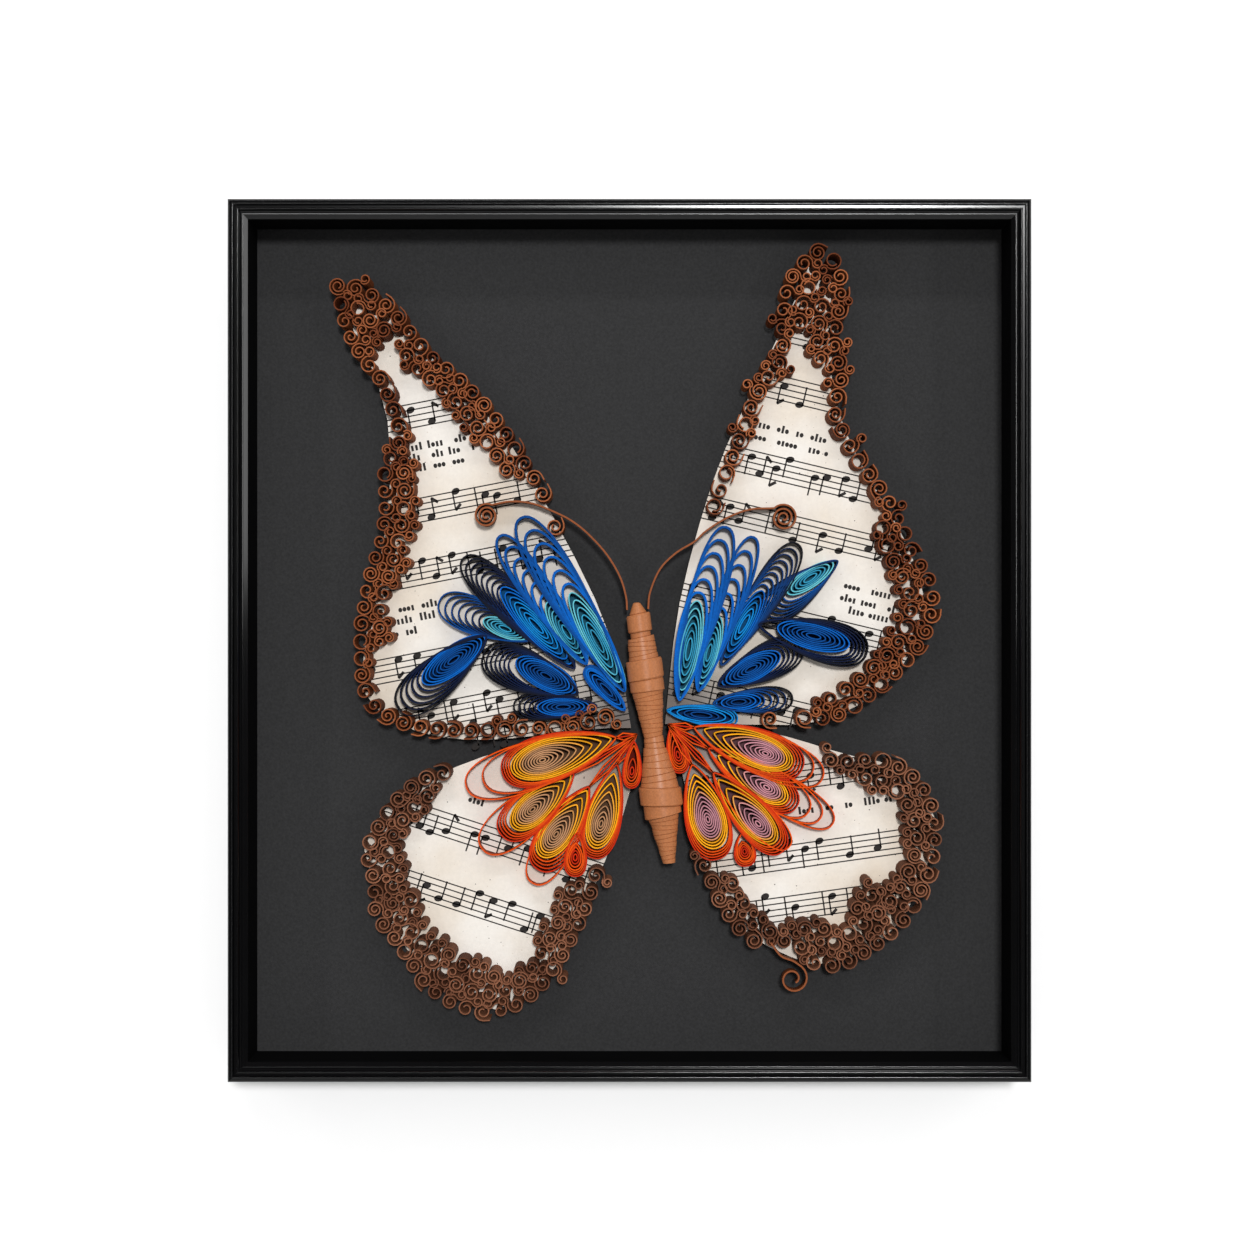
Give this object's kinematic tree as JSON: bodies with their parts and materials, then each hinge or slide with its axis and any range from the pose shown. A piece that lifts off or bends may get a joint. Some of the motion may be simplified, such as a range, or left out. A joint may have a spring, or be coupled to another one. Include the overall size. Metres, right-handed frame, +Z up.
{
  "type": "quilled wall art",
  "caption": "Quilled paper butterfly with printed-paper wings, scroll borders and coloured feathers, set on dark card in a deep black frame that hangs on a wall.",
  "frame": {"origin": "where the wall nail bears in the middle notch of the sawtooth hanger, on the wall's face", "axes": "+X to the viewer's right, +Y into the wall, +Z up"},
  "size_m": [0.273, 0.027, 0.3],
  "materials": {
    "black_lacquer": "gloss black lacquer",
    "charcoal_card": "matt, fine fibre",
    "hardboard": "smooth pressed board",
    "bright_steel": "zinc plated",
    "white_foam": "soft foam",
    "aged_paper": "matt, yellowed, printed",
    "brown_strip": "matt strip on edge",
    "kraft_strip": "wound kraft strip, slight sheen",
    "blue_strip": "matt strip on edge",
    "orange_strip": "matt strip on edge"
  },
  "bodies": {
    "root": {"backing_board": "hardboard", "butterfly_body": "kraft_strip", "frame_rail_bottom": "black_lacquer", "frame_rail_left": "black_lacquer", "frame_rail_right": "black_lacquer", "frame_rail_top": "black_lacquer", "hanger_rivets": "bright_steel", "left_antenna": "brown_strip", "left_blue_feather_1": "blue_strip", "left_blue_feather_2": "blue_strip", "left_blue_feather_3": "blue_strip", "left_blue_feather_4": "blue_strip", "left_blue_feather_5": "blue_strip", "left_blue_feather_6": "blue_strip", "left_blue_feather_7": "blue_strip", "left_blue_feather_8": "blue_strip", "left_forewing": "aged_paper", "left_forewing_border": "brown_strip", "left_forewing_foam": "white_foam", "left_hindwing": "aged_paper", "left_hindwing_border": "brown_strip", "left_hindwing_foam": "white_foam", "left_orange_feather_1": "orange_strip", "left_orange_feather_2": "orange_strip", "left_orange_feather_3": "orange_strip", "left_orange_feather_4": "orange_strip", "left_orange_feather_5": "orange_strip", "left_orange_feather_6": "orange_strip", "mount_card": "charcoal_card", "retaining_points": "bright_steel", "right_antenna": "brown_strip", "right_blue_feather_1": "blue_strip", "right_blue_feather_2": "blue_strip", "right_blue_feather_3": "blue_strip", "right_blue_feather_4": "blue_strip", "right_blue_feather_5": "blue_strip", "right_blue_feather_6": "blue_strip", "right_blue_feather_7": "blue_strip", "right_blue_feather_8": "blue_strip", "right_forewing": "aged_paper", "right_forewing_border": "brown_strip", "right_forewing_foam": "white_foam", "right_hindwing": "aged_paper", "right_hindwing_border": "brown_strip", "right_hindwing_foam": "white_foam", "right_orange_feather_1": "orange_strip", "right_orange_feather_2": "orange_strip", "right_orange_feather_3": "orange_strip", "right_orange_feather_4": "orange_strip", "right_orange_feather_5": "orange_strip", "right_orange_feather_6": "orange_strip", "sawtooth_hanger": "bright_steel", "tail_scroll": "brown_strip"}
  },
  "joints": []
}
